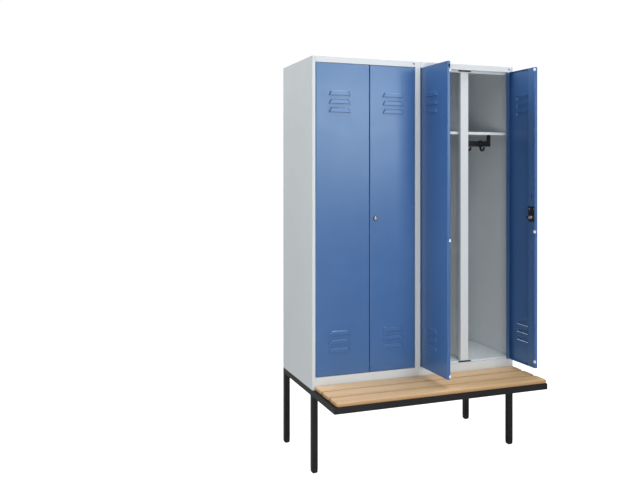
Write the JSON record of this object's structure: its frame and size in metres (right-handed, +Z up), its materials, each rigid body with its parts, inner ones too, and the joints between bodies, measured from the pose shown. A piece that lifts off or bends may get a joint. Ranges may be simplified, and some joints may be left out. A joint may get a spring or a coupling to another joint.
{
  "type": "clean and dirty clothes locker",
  "caption": "Clean and dirty clothes locker: grey steel cabinet with paired blue louvred doors, hat shelves, hook rails and a beech slat bench on a black tube base.",
  "frame": {"origin": "on the floor at the middle of the footprint, bench included", "axes": "+X to the locker's right seen from the front, +Y to its back, +Z up"},
  "size_m": [1.18, 0.815, 2.1],
  "materials": {
    "light_grey_steel": "light grey powder coat, fine satin texture",
    "blue_steel": "blue powder coat, satin",
    "black_steel": "near-black powder coat, satin",
    "black_plastic": "moulded black plastic, matt",
    "beech": "clear-lacquered beech",
    "nickel": "nickel-plated lock cylinder",
    "zinc": "zinc-plated steel cam"
  },
  "bodies": {
    "cabinet": {"left_side": "light_grey_steel", "right_side": "light_grey_steel", "middle_wall": "light_grey_steel", "floor_panel": "light_grey_steel", "top_panel": "light_grey_steel", "back_panel": "light_grey_steel", "centre_post_1": "light_grey_steel", "partition_1": "light_grey_steel", "stop_pad_bottom_1": "black_plastic", "stop_pad_top_1": "black_plastic", "centre_post_2": "light_grey_steel", "partition_2": "light_grey_steel", "stop_pad_bottom_2": "black_plastic", "stop_pad_top_2": "black_plastic", "hat_shelf_1": "light_grey_steel", "coat_rail_1": "black_plastic", "hat_shelf_2": "light_grey_steel", "coat_rail_2": "black_plastic", "hat_shelf_3": "light_grey_steel", "coat_rail_3": "black_plastic", "hat_shelf_4": "light_grey_steel", "coat_rail_4": "black_plastic", "base_left_frame": "black_steel", "base_right_frame": "black_steel", "base_front_rail": "black_steel", "base_rear_rail": "black_steel", "foot_front_left": "black_plastic", "foot_rear_left": "black_plastic", "foot_front_right": "black_plastic", "foot_rear_right": "black_plastic", "bench_slat_1": "beech", "bench_slat_2": "beech", "bench_slat_3": "beech"},
    "door_1": {"door_1": "blue_steel", "door_stiffener_1": "blue_steel"},
    "door_2": {"door_2": "blue_steel", "door_stiffener_2": "blue_steel", "lock_case_1": "black_plastic"},
    "door_3": {"door_3": "blue_steel", "door_stiffener_3": "blue_steel"},
    "door_4": {"door_4": "blue_steel", "door_stiffener_4": "blue_steel", "lock_case_2": "black_plastic"},
    "lock_1": {"lock_cylinder_1": "nickel", "lock_cam_1": "zinc"},
    "lock_2": {"lock_cylinder_2": "nickel", "lock_cam_2": "zinc"},
    "hook_1_1": {"coat_hook_1_1": "black_plastic"},
    "hook_1_2": {"coat_hook_1_2": "black_plastic"},
    "hook_1_3": {"coat_hook_1_3": "black_plastic"},
    "hook_2_1": {"coat_hook_2_1": "black_plastic"},
    "hook_2_2": {"coat_hook_2_2": "black_plastic"},
    "hook_2_3": {"coat_hook_2_3": "black_plastic"},
    "hook_3_1": {"coat_hook_3_1": "black_plastic"},
    "hook_3_2": {"coat_hook_3_2": "black_plastic"},
    "hook_3_3": {"coat_hook_3_3": "black_plastic"},
    "hook_4_1": {"coat_hook_4_1": "black_plastic"},
    "hook_4_2": {"coat_hook_4_2": "black_plastic"},
    "hook_4_3": {"coat_hook_4_3": "black_plastic"}
  },
  "joints": [
    {"name": "door_1_hinge", "type": "hinge", "parent": "cabinet", "child": "door_1", "pos_m": [-0.565, -0.088, 0.4843], "axis": [0, 0, -1], "range_deg": [0, 110]},
    {"name": "door_2_hinge", "type": "hinge", "parent": "cabinet", "child": "door_2", "pos_m": [-0.0235, -0.088, 0.4843], "axis": [0, 0, 1], "range_deg": [0, 92]},
    {"name": "door_3_hinge", "type": "hinge", "parent": "cabinet", "child": "door_3", "pos_m": [0.0235, -0.088, 0.4843], "axis": [0, 0, -1], "range_deg": [-89.5, 2.5]},
    {"name": "door_4_hinge", "type": "hinge", "parent": "cabinet", "child": "door_4", "pos_m": [0.565, -0.088, 0.4843], "axis": [0, 0, 1], "range_deg": [-91.5, 18.5]},
    {"name": "lock_1_turn", "type": "hinge", "parent": "door_2", "child": "lock_1", "pos_m": [-0.24525, -0.088, 1.2763], "axis": [0, -1, 0], "range_deg": [0, 180]},
    {"name": "lock_2_turn", "type": "hinge", "parent": "door_4", "child": "lock_2", "pos_m": [0.57081, -0.30967, 1.2763], "axis": [0.9997, 0.0262, 0], "range_deg": [0, 180]},
    {"name": "hook_1_1_slide", "type": "slide", "parent": "cabinet", "child": "hook_1_1", "axis": [1, 0, 0], "range_m": [-0.01328, 0.02616]},
    {"name": "hook_1_2_slide", "type": "slide", "parent": "cabinet", "child": "hook_1_2", "axis": [1, 0, 0], "range_m": [-0.02616, 0.03841]},
    {"name": "hook_1_3_slide", "type": "slide", "parent": "cabinet", "child": "hook_1_3", "axis": [1, 0, 0], "range_m": [-0.03841, 0.03983]},
    {"name": "hook_2_1_slide", "type": "slide", "parent": "cabinet", "child": "hook_2_1", "axis": [1, 0, 0], "range_m": [-0.01328, 0.02616]},
    {"name": "hook_2_2_slide", "type": "slide", "parent": "cabinet", "child": "hook_2_2", "axis": [1, 0, 0], "range_m": [-0.02616, 0.03841]},
    {"name": "hook_2_3_slide", "type": "slide", "parent": "cabinet", "child": "hook_2_3", "axis": [1, 0, 0], "range_m": [-0.03841, 0.03983]},
    {"name": "hook_3_1_slide", "type": "slide", "parent": "cabinet", "child": "hook_3_1", "axis": [1, 0, 0], "range_m": [-0.01328, 0.02616]},
    {"name": "hook_3_2_slide", "type": "slide", "parent": "cabinet", "child": "hook_3_2", "axis": [1, 0, 0], "range_m": [-0.02616, 0.03841]},
    {"name": "hook_3_3_slide", "type": "slide", "parent": "cabinet", "child": "hook_3_3", "axis": [1, 0, 0], "range_m": [-0.03841, 0.03983]},
    {"name": "hook_4_1_slide", "type": "slide", "parent": "cabinet", "child": "hook_4_1", "axis": [1, 0, 0], "range_m": [-0.01328, 0.02616]},
    {"name": "hook_4_2_slide", "type": "slide", "parent": "cabinet", "child": "hook_4_2", "axis": [1, 0, 0], "range_m": [-0.02616, 0.03841]},
    {"name": "hook_4_3_slide", "type": "slide", "parent": "cabinet", "child": "hook_4_3", "axis": [1, 0, 0], "range_m": [-0.03841, 0.03983]}
  ]
}
